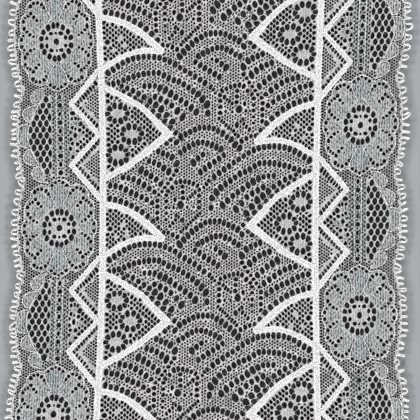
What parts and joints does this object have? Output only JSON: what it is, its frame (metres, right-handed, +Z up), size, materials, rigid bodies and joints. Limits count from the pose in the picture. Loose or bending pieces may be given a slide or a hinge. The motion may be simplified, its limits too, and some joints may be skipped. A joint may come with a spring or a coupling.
{
  "type": "stretch lace fabric",
  "caption": "Flat cut length of white stretch galloon lace with picot edges, flower borders, heavy zigzag bars and fans of eyelets in a fine net ground.",
  "frame": {"origin": "middle of the lace's underside", "axes": "+X across the lace towards its right picot edge, +Y along it, +Z up out of its face"},
  "size_m": [0.1532, 0.1802, 0.0015],
  "materials": {
    "lace_yarn": "matt white textured nylon yarn, knitted into an open net with heavier laid-in cords"
  },
  "bodies": {
    "root": {"lace": "lace_yarn"}
  },
  "joints": []
}
